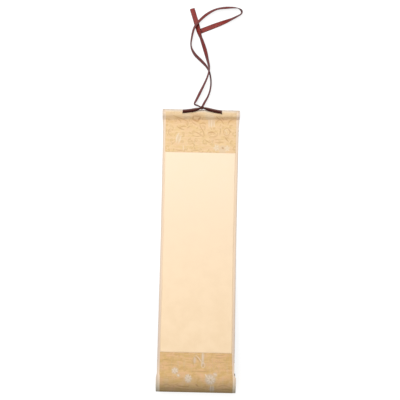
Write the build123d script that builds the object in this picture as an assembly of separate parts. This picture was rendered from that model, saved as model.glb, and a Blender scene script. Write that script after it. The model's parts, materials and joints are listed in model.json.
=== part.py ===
"""A small blank hanging scroll, unrolled and lying face up, with its ribbons laid out.

A backing paper carries a writing paper between two brocade panels, with a paper strip turned
round each long edge. At the top the sheets wrap a half-round batten, at the bottom a dowel,
and each wrap ends in a lap glued to the scroll's back. A short ribbon is let into the batten,
and a tie ribbon is knotted round its middle.

Millimetres. +X runs across the scroll, +Y towards the batten, +Z up from the table. The
origin is on the table, under the middle of the scroll.
"""

import os
from math import cos, pi, radians, sin, tan

from build123d import *

# Scroll, as seen from above
body_width = 90.0
top_border_length = 50.7
writing_paper_length = 235.2
bottom_border_length = 47.6

# Sheets
backing_thickness = 0.3
brocade_thickness = 0.3
writing_paper_thickness = 0.2
strip_thickness = 0.2
strip_front_width = 3.0
strip_turned_width = 1.6
strip_opened_at_batten = 0.8

# Top batten
batten_radius = 4.5
batten_corner_radius = 0.6
batten_end_recess = 0.8
batten_leave_angle = 50.0
batten_crease_radius = 2.5
batten_lap_length = 10.0
batten_flare_length = 14.0

# Bottom dowel
dowel_radius = 11.0
dowel_end_recess = 1.0
dowel_leave_angle = 105.0
dowel_crease_radius = 2.5
dowel_lap_length = 12.0
dowel_flare_length = 5.0
dowel_flare_over_rod = 4.0
rod_chamfer = 0.4

# Lie of the sheet between the rods
step_angle = 1.2
step_radius = 120.0
lift_angle = 10.0
lift_radius = 400.0
crown_radius = 400.0
roller_slope = 3.0
lap_clear_run = 3.0
fold_end_gap = 1.0

# Ribbons
ribbon_thickness = 0.5
hanging_ribbon_width = 5.0
hanging_ribbon_span = 46.5
hanging_ribbon_offset = 1.2
hanging_ribbon_angle = 62.0
hanging_ribbon_sag = 5.0
hanging_ribbon_lift = 0.5
hanging_ribbon_waist = 2.4
gathered_length = 8.0
slot_depth = 2.0
slot_clearance = 0.2
tie_ribbon_width = 6.0
knot_size = (4.8, 3.8, 5.4)
knot_round = 1.3
knot_offset = 0.5

# Ends, bends and crossings of the tie ribbon's two tails, with Y counted from the scroll's edge
short_tail_route = [
    (0.4, 2.8, 0.25),
    (-5.4, 4.7, 0.25),
    (-8.1, 10.2, 0.25),
    (-4.2, 18.1, 0.3),
    (1.2, 27.2, 1.6),
    (6.5, 37.4, 5.6),
    (9.4, 48.1, 5.6),
    (7.6, 58.8, 1.8),
    (4.7, 69.9, 0.45),
    (0.8, 80.9, 0.5),
    (-3.5, 91.1, 1.3),
    (-6.4, 100.6, 1.1),
    (-9.8, 110.1, 0.45),
    (-13.6, 120.9, 0.45),
]
long_tail_route = [
    (0.9, 3.2, 1.4),
    (3.4, 8.3, 0.9),
    (8.2, 15.9, 0.3),
    (11.8, 26.7, 0.26),
    (11.2, 37.9, 0.26),
    (7.5, 49.2, 0.26),
    (-0.5, 57.9, 0.26),
    (-9.6, 65.4, 0.26),
    (-14.5, 74.8, 0.3),
    (-13.8, 86.2, 1.6),
    (-11.6, 97.6, 5.6),
    (-5.2, 106.6, 5.6),
    (3.8, 114.8, 1.6),
    (15.3, 120.2, 0.35),
    (27.8, 122.8, 0.35),
    (39, 123.2, 0.35),
    (46.2, 121.1, 0.35),
    (47.6, 114.4, 0.35),
    (42.3, 110.2, 0.35),
    (34.2, 108.1, 0.35),
    (24, 104.6, 0.35),
    (12.6, 99.8, 0.35),
    (-4.4, 93, 0.35),
]

# Worked out from the sizes above
overall_length = top_border_length + writing_paper_length + bottom_border_length
panel_width = body_width - 2 * strip_front_width
backing_width = body_width - 2 * strip_thickness
roller_wrap_width = body_width + 2 * strip_turned_width
batten_wrap_width = body_width + 2 * strip_opened_at_batten
wrap_thickness = backing_thickness + brocade_thickness
table_gap = strip_thickness
batten_outer = batten_radius + wrap_thickness
batten_y = overall_length / 2 - batten_outer
batten_z = wrap_thickness + batten_corner_radius
dowel_y = -overall_length / 2 + dowel_radius + wrap_thickness
dowel_z = dowel_radius + wrap_thickness
quarter_turn = 90.0
run_share = 0.45
cut_margin = 1.0
shortest_run = 1e-6


class SheetLine:
    """The glue line between the backing and the face papers, seen along +X.

    It is built up step by step from straight runs and arcs. An angle is a heading in the
    YZ plane, where 0 points along +Y and 90 up. The face is on the right of the line.
    """

    def __init__(self, y, z, heading):
        self.pose = (y, z, heading)
        self.length = 0.0
        self.steps = []

    def straight(self, run):
        self.steps.append((self.length, run, self.pose, 0.0))
        self._advance(run, 0.0)

    def arc(self, radius, turn):
        run = radius * radians(abs(turn))
        self.steps.append((self.length, run, self.pose, turn / run))
        self._advance(run, turn / run)

    def _advance(self, run, rate):
        self.pose = self._move(self.pose, run, rate)
        self.length += run

    @staticmethod
    def _move(pose, run, rate):
        y, z, heading = pose
        if rate == 0:
            return y + run * cos(radians(heading)), z + run * sin(radians(heading)), heading
        after = heading + rate * run
        radius = 180 / (pi * rate)
        y += radius * (sin(radians(after)) - sin(radians(heading)))
        z -= radius * (cos(radians(after)) - cos(radians(heading)))
        return y, z, after

    @staticmethod
    def _offset(pose, distance):
        y, z, heading = pose
        return (y + distance * sin(radians(heading)), z - distance * cos(radians(heading)))

    def band(self, start, end, low, high):
        """The face between two stations and two distances from the line, towards the face."""
        lower, upper = [], []
        for station, run, pose, rate in self.steps:
            first, last = max(start, station), min(end, station + run)
            if last - first < shortest_run:
                continue
            poses = [self._move(pose, s - station, rate) for s in (first, (first + last) / 2, last)]
            for edges, distance in ((lower, low), (upper, high)):
                points = [self._offset(p, distance) for p in poses]
                curve = Line(points[0], points[2]) if rate == 0 else ThreePointArc(*points)
                edges.append(curve)
        caps = [Line(lower[0] @ 0, upper[0] @ 0), Line(lower[-1] @ 1, upper[-1] @ 1)]
        return make_face([*lower, *upper, *caps])


def extrude_across(face, low_x, high_x):
    """Stands a face drawn in (y, z) up in the YZ plane and extrudes it from one X to the other."""
    return extrude(Plane.YZ.offset(low_x) * face, amount=high_x - low_x)


def draw_sheet_line():
    """Follows the sheets from the lap behind the batten to the lap behind the dowel."""
    batten_line = batten_radius + backing_thickness
    corner_line = batten_corner_radius + backing_thickness
    leave = radians(batten_leave_angle)
    lap_height = wrap_thickness + backing_thickness
    ramp = batten_z + batten_line * cos(leave) - lap_height
    ramp = (ramp - batten_crease_radius * (1 - cos(leave))) / sin(leave)
    crease_y = batten_y - batten_line * sin(leave) - ramp * cos(leave)
    crease_y -= batten_crease_radius * sin(leave)
    lap_end_y = crease_y - batten_lap_length

    line = SheetLine(lap_end_y, brocade_thickness, 0)
    marks = {}
    line.straight(batten_y + batten_radius - batten_corner_radius - lap_end_y)
    line.arc(corner_line, quarter_turn)
    line.arc(batten_line, quarter_turn + batten_leave_angle)
    line.straight(ramp)
    line.arc(batten_crease_radius, -batten_leave_angle)
    marks["crease"] = line.length
    line.straight(batten_lap_length)
    marks["batten_lap_end"] = line.length

    table_height = table_gap + backing_thickness
    drop = lap_height - table_height - 2 * step_radius * (1 - cos(radians(step_angle)))
    line.arc(step_radius, step_angle)
    line.straight(drop / sin(radians(step_angle)))
    line.arc(step_radius, -step_angle)

    dowel_line = dowel_radius + backing_thickness
    lift, slope = radians(lift_angle), radians(roller_slope)
    lap_run = dowel_lap_length + dowel_crease_radius + lap_clear_run
    meet_y = dowel_y + dowel_line * sin(slope)
    meet_z = dowel_z + dowel_line * cos(slope)
    climb = meet_z - table_height - lift_radius * (1 - cos(lift))
    climb -= crown_radius * (cos(slope) - cos(lift)) + lap_run * sin(slope)
    climb /= sin(lift)
    reach = lift_radius * sin(lift) + climb * cos(lift)
    reach += crown_radius * (sin(lift) - sin(slope)) + lap_run * cos(slope)
    line.straight(line.pose[0] - meet_y - reach)
    line.arc(lift_radius, -lift_angle)
    line.straight(climb)
    line.arc(crown_radius, lift_angle - roller_slope)
    line.straight(lap_run)
    marks["dowel_top"] = line.length

    leave = radians(dowel_leave_angle)
    line.arc(dowel_line, 2 * quarter_turn + dowel_leave_angle)
    rise = dowel_line * (1 + cos(leave)) - 2 * backing_thickness
    rise -= dowel_crease_radius * (1 - cos(leave))
    line.straight(rise / sin(leave))
    line.arc(dowel_crease_radius, -dowel_leave_angle)
    line.straight(dowel_lap_length)
    along = dowel_line * sin(leave) + rise / tan(leave) + dowel_crease_radius * sin(leave)
    marks["dowel_lap_end"] = marks["dowel_top"] - along - dowel_lap_length

    marks["top_seam"] = marks["crease"] + crease_y - (overall_length / 2 - top_border_length)
    over_rod = dowel_radius + wrap_thickness
    marks["bottom_seam"] = marks["dowel_top"] - (bottom_border_length - over_rod)
    return line, marks


line, marks = draw_sheet_line()


def tilted(x, along, out):
    """A point near the batten, where a ribbon lies along its upper outer side.

    along runs down the side from the ribbon's middle line, and out away from the wood.
    """
    angle = radians(hanging_ribbon_angle)
    y = batten_y + batten_outer * cos(angle) + out * cos(angle) + along * sin(angle)
    z = batten_z + batten_outer * sin(angle) + out * sin(angle) - along * cos(angle)
    return (x, y, z)


def ribbon_plane():
    """The plane that the hanging ribbon lies in: its X runs across the scroll, its Y outwards."""
    angle = radians(hanging_ribbon_angle)
    return Plane(
        origin=tilted(0, 0, 0),
        x_dir=(1, 0, 0),
        z_dir=(0, cos(angle), sin(angle)),
    )


def ribbon_slots():
    """Two narrow cuts through the wrap into the batten, one for each end of the hanging ribbon."""
    across = ribbon_thickness + 2 * slot_clearance
    along = hanging_ribbon_width + 2 * slot_clearance
    out = wrap_thickness + batten_radius
    cuts = []
    for side in (-1, 1):
        x = hanging_ribbon_offset + side * hanging_ribbon_span / 2
        cut = Pos(x, 0, out / 2 - wrap_thickness - slot_depth) * Box(across, along, out)
        cuts.append(ribbon_plane() * cut)
    return cuts


def backing_paper():
    """One sheet from lap to lap, with each lap glued to its own back."""
    stations = (0, marks["crease"], marks["dowel_top"], line.length)
    paper = None
    for start, end in zip(stations, stations[1:]):
        face = line.band(start, end, -backing_thickness, 0)
        run = extrude_across(face, -backing_width / 2, backing_width / 2)
        paper = run if paper is None else paper + run
    for cut in ribbon_slots():
        paper -= cut
    return paper


def face_panel(start, end, thickness):
    """A panel glued on the face between two stations."""
    return extrude_across(line.band(start, end, 0, thickness), -panel_width / 2, panel_width / 2)


def top_brocade():
    panel = face_panel(0, marks["top_seam"], brocade_thickness)
    for cut in ribbon_slots():
        panel -= cut
    return panel


def strip_outline():
    """The scroll's outline from above: wider at the rods, where the strips aren't turned."""
    body, roller, batten = body_width / 2, roller_wrap_width / 2, batten_wrap_width / 2
    bottom, top = -overall_length / 2 - cut_margin, overall_length / 2 + cut_margin
    roller_wide = dowel_y + dowel_radius + wrap_thickness - dowel_flare_over_rod
    roller_narrow = roller_wide + dowel_flare_length
    batten_wide = batten_y - batten_outer
    batten_narrow = batten_wide - batten_flare_length
    half = [
        Line((0, bottom), (roller, bottom)),
        Line((roller, bottom), (roller, roller_wide)),
        Spline((roller, roller_wide), (body, roller_narrow), tangents=[(0, 1), (0, 1)]),
        Line((body, roller_narrow), (body, batten_narrow)),
        Spline((body, batten_narrow), (batten, batten_wide), tangents=[(0, 1), (0, 1)]),
        Line((batten, batten_wide), (batten, top)),
        Line((batten, top), (0, top)),
        Line((0, top), (0, bottom)),
    ]
    height = dowel_z + dowel_radius + wrap_thickness
    return extrude(Pos(0, 0, -cut_margin) * make_face(half), amount=height + 2 * cut_margin)


def edge_strip(side):
    """A paper strip along one long edge, turned over to the back between the two laps."""
    inner, body, flat = panel_width / 2, body_width / 2, roller_wrap_width / 2
    front = line.band(0, line.length, 0, strip_thickness)
    strip = extrude_across(front, inner, flat) & strip_outline()
    start = marks["batten_lap_end"] + fold_end_gap
    end = marks["dowel_lap_end"] - fold_end_gap
    back = -backing_thickness
    edge = line.band(start, end, back - strip_thickness, strip_thickness)
    strip += extrude_across(edge, backing_width / 2, body)
    turned = line.band(start, end, back - strip_thickness, back)
    strip += extrude_across(turned, body - strip_turned_width, body)
    return strip if side > 0 else mirror(strip, about=Plane.YZ)


def batten():
    """A half-round rod, flat side down, with its two lower corners eased."""
    radius, corner = batten_radius, batten_corner_radius
    flat = radius - corner
    profile = make_face(
        [
            Line((-flat, -corner), (flat, -corner)),
            RadiusArc((flat, -corner), (radius, 0), -corner),
            ThreePointArc((radius, 0), (0, radius), (-radius, 0)),
            RadiusArc((-radius, 0), (-flat, -corner), -corner),
        ]
    )
    half = batten_wrap_width / 2 - batten_end_recess
    rod = extrude_across(Pos(batten_y, batten_z) * profile, -half, half)
    ends = rod.faces().sort_by(Axis.X)
    rod = chamfer(ends[0].edges() + ends[-1].edges(), rod_chamfer)
    for cut in ribbon_slots():
        rod -= cut
    return rod


def dowel():
    half = roller_wrap_width / 2 - dowel_end_recess
    rod = extrude_across(Pos(dowel_y, dowel_z) * Circle(dowel_radius), -half, half)
    return chamfer(rod.edges().filter_by(GeomType.CIRCLE), rod_chamfer)


def hanging_ribbon():
    """A flat ribbon let into the slots at its ends, gathered and drawn outwards at the knot."""
    width, thickness = hanging_ribbon_width, ribbon_thickness
    left = hanging_ribbon_offset - hanging_ribbon_span / 2
    right = hanging_ribbon_offset + hanging_ribbon_span / 2
    bottom = -wrap_thickness - slot_depth
    top = hanging_ribbon_lift
    outer = FilletPolyline(
        (left - thickness / 2, bottom),
        (left - thickness / 2, top + thickness),
        (right + thickness / 2, top + thickness),
        (right + thickness / 2, bottom),
        radius=top + thickness,
    )
    inner = FilletPolyline(
        (left + thickness / 2, bottom),
        (left + thickness / 2, top),
        (right - thickness / 2, top),
        (right - thickness / 2, bottom),
        radius=top,
    )
    feet = [Line(outer @ 0, inner @ 0), Line(outer @ 1, inner @ 1)]
    staple = make_face([*outer.edges(), *inner.edges(), *feet])
    clip = extrude(Plane.XZ * staple, amount=width + hanging_ribbon_sag, both=True)

    knot_half = knot_size[0] / 2
    upper, lower = [], []
    for end, side in ((left - thickness, -1), (right + thickness, 1)):
        knot_side = knot_offset + side * knot_half
        steps = [
            (end, width),
            (end - side * (width + thickness), width),
            (knot_offset + side * gathered_length, width),
            (knot_side, hanging_ribbon_waist),
        ]
        for x, wide in steps[::-side]:
            middle = hanging_ribbon_sag * (x - end) / (knot_side - end)
            upper.append((x, middle + wide / 2))
            lower.append((x, middle - wide / 2))
    outline = make_face(Polyline(*upper, *reversed(lower), close=True))
    plan = extrude(Pos(0, 0, bottom) * outline, amount=top + thickness - bottom)
    return ribbon_plane() * (clip & plan)


def knot_body():
    """The outer shape of the tie ribbon's knot, lying against the table."""
    shape = fillet(Box(*knot_size).edges(), knot_round)
    x, y, _ = tilted(knot_offset, hanging_ribbon_sag, hanging_ribbon_lift)
    return Pos(x, y, knot_size[2] / 2) * shape


def knot():
    """The knot, with the hanging ribbon passing through it."""
    return knot_body() - hanging_ribbon()


def corner_radii(points):
    """For each inner corner, a share of the shorter run over the tangent of half the turn."""
    radii = []
    for before, corner, after in zip(points, points[1:], points[2:]):
        arriving = Vector(corner) - Vector(before)
        leaving = Vector(after) - Vector(corner)
        shorter = min(arriving.length, leaving.length)
        half_turn = radians(arriving.get_angle(leaving)) / 2
        radii.append(run_share * shorter / tan(half_turn))
    return radii


def tail(name, route):
    """A ribbon laid along a route, flat on the table, with low humps where it crosses."""
    points = [(x, overall_length / 2 + y, z) for x, y, z in route]
    radii = corner_radii(points)
    path = FilletPolyline(*points, radius=radii)
    start = Plane(origin=path @ 0, z_dir=path % 0, x_dir=Vector(0, 0, 1).cross(path % 0))
    section = start * Rectangle(tie_ribbon_width, ribbon_thickness)
    solid = sweep(section, path=path)
    expected = path.length * tie_ribbon_width * ribbon_thickness
    print(name, "length", round(path.length, 1), "volume", round(solid.volume / expected, 4))
    print(name, "radii", [round(radius, 1) for radius in radii])
    return solid - knot_body()


def main():
    nodes = {
        "backing_paper": backing_paper(),
        "writing_paper": face_panel(
            marks["top_seam"], marks["bottom_seam"], writing_paper_thickness
        ),
        "top_brocade": top_brocade(),
        "bottom_brocade": face_panel(marks["bottom_seam"], line.length, brocade_thickness),
        "left_edge_strip": edge_strip(-1),
        "right_edge_strip": edge_strip(1),
        "top_batten": batten(),
        "bottom_dowel": dowel(),
        "hanging_ribbon": hanging_ribbon(),
        "tie_ribbon_knot": knot(),
        "tie_ribbon_short_tail": tail("short tail", short_tail_route),
        "tie_ribbon_long_tail": tail("long tail", long_tail_route),
    }
    os.makedirs("parts", exist_ok=True)
    for name, shape in nodes.items():
        shape.label = name
        export_step(shape, f"parts/{name}.step")
    print("sheet length", round(line.length, 1), {k: round(v, 1) for k, v in marks.items()})


main()
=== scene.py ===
"""Looks of a small blank hanging scroll, lying unrolled with its ribbons laid out above it.

Shapes are worked out in millimetres and written to the meshes in metres. +X runs across the
scroll, +Y towards the batten, and +Z up from the table. A station is a distance along the
papers, from the lap behind the batten to the lap behind the dowel.
"""

import json
from functools import lru_cache
from math import ceil, cos, pi, radians, sin, tan

import bmesh
import bpy
import numpy as np
from mathutils import Matrix, Vector
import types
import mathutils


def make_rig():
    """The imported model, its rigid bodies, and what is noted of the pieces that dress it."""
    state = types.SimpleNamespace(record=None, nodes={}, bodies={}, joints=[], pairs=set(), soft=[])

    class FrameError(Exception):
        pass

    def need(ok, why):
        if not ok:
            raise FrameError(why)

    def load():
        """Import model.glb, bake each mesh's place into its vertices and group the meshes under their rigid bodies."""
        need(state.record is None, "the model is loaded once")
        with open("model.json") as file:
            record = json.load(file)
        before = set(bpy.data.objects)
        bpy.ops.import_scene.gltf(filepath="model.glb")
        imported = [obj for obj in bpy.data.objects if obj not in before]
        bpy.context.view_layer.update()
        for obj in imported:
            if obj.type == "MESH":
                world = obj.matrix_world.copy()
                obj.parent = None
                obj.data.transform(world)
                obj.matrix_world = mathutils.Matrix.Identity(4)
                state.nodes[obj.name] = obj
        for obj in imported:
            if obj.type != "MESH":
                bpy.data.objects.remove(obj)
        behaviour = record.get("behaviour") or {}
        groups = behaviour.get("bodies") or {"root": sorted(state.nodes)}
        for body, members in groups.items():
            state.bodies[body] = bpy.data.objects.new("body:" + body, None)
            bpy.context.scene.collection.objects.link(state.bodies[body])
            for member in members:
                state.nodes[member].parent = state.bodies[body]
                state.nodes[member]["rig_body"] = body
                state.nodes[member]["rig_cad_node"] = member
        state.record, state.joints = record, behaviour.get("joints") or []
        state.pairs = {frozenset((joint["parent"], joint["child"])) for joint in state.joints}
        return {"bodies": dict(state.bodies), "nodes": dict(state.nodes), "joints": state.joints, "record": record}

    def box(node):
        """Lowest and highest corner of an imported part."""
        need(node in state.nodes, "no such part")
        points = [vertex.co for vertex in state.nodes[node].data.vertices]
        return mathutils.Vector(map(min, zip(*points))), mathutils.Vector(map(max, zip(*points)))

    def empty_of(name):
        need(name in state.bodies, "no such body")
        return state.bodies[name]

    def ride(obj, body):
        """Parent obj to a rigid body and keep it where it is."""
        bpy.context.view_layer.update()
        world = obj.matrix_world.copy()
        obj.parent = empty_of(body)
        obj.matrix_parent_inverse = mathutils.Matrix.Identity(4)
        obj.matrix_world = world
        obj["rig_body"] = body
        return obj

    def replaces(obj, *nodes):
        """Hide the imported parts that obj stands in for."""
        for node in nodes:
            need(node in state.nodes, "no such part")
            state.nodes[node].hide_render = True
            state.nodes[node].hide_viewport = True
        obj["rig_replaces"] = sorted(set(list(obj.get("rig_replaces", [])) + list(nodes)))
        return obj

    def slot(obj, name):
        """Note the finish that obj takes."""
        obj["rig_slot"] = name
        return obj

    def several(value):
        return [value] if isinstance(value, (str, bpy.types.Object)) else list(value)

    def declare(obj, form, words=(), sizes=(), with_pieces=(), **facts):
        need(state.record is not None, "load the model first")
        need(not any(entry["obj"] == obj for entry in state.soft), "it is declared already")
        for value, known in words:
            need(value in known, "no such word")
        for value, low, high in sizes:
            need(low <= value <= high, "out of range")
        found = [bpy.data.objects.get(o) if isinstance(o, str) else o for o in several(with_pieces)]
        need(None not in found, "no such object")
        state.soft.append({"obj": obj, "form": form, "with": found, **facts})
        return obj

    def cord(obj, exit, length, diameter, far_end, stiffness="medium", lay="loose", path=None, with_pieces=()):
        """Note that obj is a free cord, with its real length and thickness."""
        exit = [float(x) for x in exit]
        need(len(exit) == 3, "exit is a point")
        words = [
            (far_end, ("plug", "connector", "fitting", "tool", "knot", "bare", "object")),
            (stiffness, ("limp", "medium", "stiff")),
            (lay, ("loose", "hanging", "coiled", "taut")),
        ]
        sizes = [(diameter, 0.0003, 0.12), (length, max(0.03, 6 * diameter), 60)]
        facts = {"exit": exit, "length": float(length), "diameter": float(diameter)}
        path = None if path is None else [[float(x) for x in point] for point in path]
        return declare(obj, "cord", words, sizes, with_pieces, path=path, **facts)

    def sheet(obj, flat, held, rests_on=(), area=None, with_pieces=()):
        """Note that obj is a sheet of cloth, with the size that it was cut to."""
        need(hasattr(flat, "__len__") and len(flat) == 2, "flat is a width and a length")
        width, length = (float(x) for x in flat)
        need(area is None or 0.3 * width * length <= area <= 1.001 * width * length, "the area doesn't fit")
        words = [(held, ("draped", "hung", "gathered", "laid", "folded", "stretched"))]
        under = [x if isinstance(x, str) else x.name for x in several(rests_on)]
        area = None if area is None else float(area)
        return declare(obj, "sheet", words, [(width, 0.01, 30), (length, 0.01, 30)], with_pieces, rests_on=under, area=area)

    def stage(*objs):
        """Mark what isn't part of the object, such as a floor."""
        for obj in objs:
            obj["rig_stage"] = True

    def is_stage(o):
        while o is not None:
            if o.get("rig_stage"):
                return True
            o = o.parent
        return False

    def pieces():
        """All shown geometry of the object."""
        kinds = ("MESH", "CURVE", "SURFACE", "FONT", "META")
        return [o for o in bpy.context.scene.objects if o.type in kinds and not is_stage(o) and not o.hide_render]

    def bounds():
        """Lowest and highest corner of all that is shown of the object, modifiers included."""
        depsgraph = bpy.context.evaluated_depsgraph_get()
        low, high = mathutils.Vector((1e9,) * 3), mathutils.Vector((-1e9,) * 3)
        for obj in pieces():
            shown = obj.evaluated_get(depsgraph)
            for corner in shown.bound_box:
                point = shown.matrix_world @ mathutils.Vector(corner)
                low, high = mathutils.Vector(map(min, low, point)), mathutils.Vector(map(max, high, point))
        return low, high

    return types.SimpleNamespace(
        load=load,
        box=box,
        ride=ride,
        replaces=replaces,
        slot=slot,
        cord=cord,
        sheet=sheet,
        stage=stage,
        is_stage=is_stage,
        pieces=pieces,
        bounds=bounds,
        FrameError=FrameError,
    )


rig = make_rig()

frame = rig.load()
cad_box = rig.bounds()
mm = 0.001
body = "root"

# Scroll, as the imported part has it
scroll_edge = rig.box("top_brocade")[1].y / mm
body_width = 90.0
panel_width = 84.0
top_border_length = 50.7
bottom_border_length = 47.6
backing_thickness = 0.3
backing_half_width = 44.8
brocade_thickness = 0.3
paper_thickness = 0.2
strip_thickness = 0.2
strip_turned_width = 1.6
strip_opened_at_batten = 0.8
wrap_thickness = backing_thickness + brocade_thickness

# Batten and dowel
batten_radius = 4.5
batten_corner = 0.6
batten_end_recess = 0.8
batten_leave = 50.0
batten_crease_radius = 2.5
batten_lap = 10.0
batten_flare = 14.0
dowel_radius = 11.0
dowel_end_recess = 1.0
dowel_leave = 105.0
dowel_crease_radius = 2.5
dowel_lap = 12.0
dowel_flare = 5.0
dowel_flare_over_rod = 4.0
rod_chamfer = 0.4
batten_y = scroll_edge - batten_radius - wrap_thickness
batten_z = wrap_thickness + batten_corner
dowel_y = -scroll_edge + dowel_radius + wrap_thickness
dowel_z = wrap_thickness + dowel_radius

# Fineness of the meshes
paper_spacing = 1.5
cloth_spacing = 0.6
ribbon_columns = 8

# Lie of the papers between the rods
step_angle = 1.2
step_radius = 120.0
lift_angle = 10.0
lift_radius = 400.0
roller_slope = 3.0
lap_clear_run = 3.0
cockle_height = 0.35
cockle_clear_of_lap = 5.0
cockle_run = 30.0
lap_ridge_height = 0.10
lap_ridge_half_width = 0.7
lap_ridge_skews = {"dowel_lap_end": 0.012, "dowel_lap_start": -0.008}
crease_skew = 0.02
crease_skew_before = 7.0
crease_skew_held = 4.0
crease_skew_fade = 30.0
strip_fold_run = 4.0
roller_drift = 0.5
panel_spread = 1.0
panel_spread_run = 30.0

# Ribbons
ribbon_thickness = 0.45
tie_ribbon_width = 6.0
hanging_ribbon_width = 5.0
hanging_ribbon_length = 55.0
gathered_width = 2.6
gathered_half_run = 1.5
gathered_fade = 7.0
ribbon_bulge = 0.45
tail_curl = 0.3
hanging_span = 46.5
hanging_middle = 1.2
hanging_angle = 62.0
hanging_sag = 4.0
hanging_out = 0.75
hanging_lift = 1.4
hanging_rise = {-1: (0.5, 1.6, 2.9), 1: (0.9, 2.4, 3.8)}
slot_depth = 2.0
knot_x = 0.5
knot_place = (knot_x, hanging_sag, hanging_out + hanging_lift)
table_clearance = 0.05

# Points that steer the tie ribbon's two tails, with Y counted from the scroll's edge,
# and how far each is turned from lying flat, in degrees
short_tail_route = [
    (0.4, 2.3, 4.8, 84),
    (-4.0, 4.7, 4.0, 84),
    (-8.1, 6.0, 3.3, 78),
    (-7.9, 7.9, 3.1, 66),
    (-5.9, 11.6, 2.9, 61),
    (-2.9, 18.1, 3.3, 56),
    (1.6, 27.2, 5.0, 62),
    (6.5, 37.4, 9.2, 68),
    (9.0, 48.1, 9.2, 75),
    (6.3, 58.8, 4.2, 62),
    (3.4, 69.9, 2.4, 45),
    (-0.5, 80.9, 2.7, 52),
    (-2.4, 85.8, 3.2, 62),
    (-4.4, 91.1, 2.7, 43),
    (-7.2, 100.6, 1.1, 11),
    (-10.1, 110.1, 0.4, 0),
    (-13.6, 120.6, 0.4, 0),
]
long_tail_route = [
    (0.9, 2.4, 4.8, 64),
    (3.4, 8.3, 3.2, 61),
    (8.0, 15.9, 3.1, 69),
    (11.0, 26.7, 3.2, 75),
    (10.8, 37.9, 3.2, 78),
    (7.4, 49.2, 3.2, 75),
    (-1.0, 57.9, 2.9, 62),
    (-9.6, 65.4, 3.0, 63),
    (-14.4, 74.8, 3.2, 78),
    (-13.1, 86.2, 3.1, 67),
    (-10.7, 97.6, 3.6, 60),
    (-4.4, 105.6, 3.6, 50),
    (3.8, 113.5, 2.8, 47),
    (15.0, 120.1, 2.7, 57),
    (27.8, 121.9, 2.7, 50),
    (38.6, 122.0, 3.0, 66),
    (45.2, 119.4, 3.2, 101),
    (45.9, 115.2, 3.2, 110),
    (40.8, 112.1, 3.0, 119),
    (33.4, 108.2, 2.8, 127),
    (24.0, 104.3, 1.4, 154),
    (12.6, 100.0, 0.5, 176),
    (-4.4, 93.0, 0.35, 180),
]
short_tail_length = 131.1
long_tail_length = 235.9

# Turns of the knot: name, place from the knot's middle, the ring's half size across and around,
# the ribbon's width in it, and how far it is turned and leans, in degrees
knot_turns = [
    ("knot_left_turn", (-0.75, 0.1, -0.3), 1.35, 1.55, 1.7, 14, 10),
    ("knot_right_turn", (0.85, 0.1, -0.3), 1.35, 1.55, 1.7, -12, -8),
    ("knot_crossing_turn", (0.05, 0.05, -0.3), 1.6, 1.8, 1.3, 3, 34),
]

# Camera, as the photograph has it
photo_pixels = 400
millimetres_a_pixel = 1.192
camera_height = 900.0
camera_aim = (0.8, 59.4)
camera_roll = 1.25
sensor_width = 36.0


def srgb(red, green, blue):
    """A colour given as it looks on a screen, from 0 to 255, as the shaders count it."""
    shares = (value / 255 for value in (red, green, blue))
    return tuple(s / 12.92 if s < 0.04045 else ((s + 0.055) / 1.055) ** 2.4 for s in shares)


# Papers' line, seen along +X

class SheetLine:
    """The glue line between the backing and the face papers, built from runs and arcs.

    A heading of 0 points along +Y and one of 90 up. The face is on the right of the line.
    """

    def __init__(self, y, z):
        self.pose = (y, z, 0.0)
        self.length = 0.0
        self.steps = []

    def straight(self, run):
        self._add(run, 0.0)

    def arc(self, radius, turn):
        run = radius * radians(abs(turn))
        self._add(run, turn / run)

    def _add(self, run, rate):
        self.steps.append((self.length, run, self.pose, rate))
        self.pose = self._move(self.pose, run, rate)
        self.length += run

    @staticmethod
    def _move(pose, run, rate):
        y, z, heading = pose
        if rate == 0:
            return y + run * cos(radians(heading)), z + run * sin(radians(heading)), heading
        after = heading + rate * run
        radius = 180 / (pi * rate)
        y += radius * (sin(radians(after)) - sin(radians(heading)))
        z -= radius * (cos(radians(after)) - cos(radians(heading)))
        return y, z, after

    def at(self, station):
        """Y, Z and heading at a station."""
        for start, run, pose, rate in self.steps:
            if station <= start + run:
                break
        return self._move(pose, station - start, rate)

    def stations(self, first, last, longest, widest_turn=5.0):
        """Stations from first to last, close enough together for the line's bends."""
        marks = [first]
        for start, run, _, rate in self.steps:
            low, high = max(first, start), min(last, start + run)
            if high - low < 1e-6:
                continue
            count = ceil(max((high - low) / longest, abs(rate) * (high - low) / widest_turn))
            marks += [low + (high - low) * (i + 1) / count for i in range(count)]
        return marks


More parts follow.
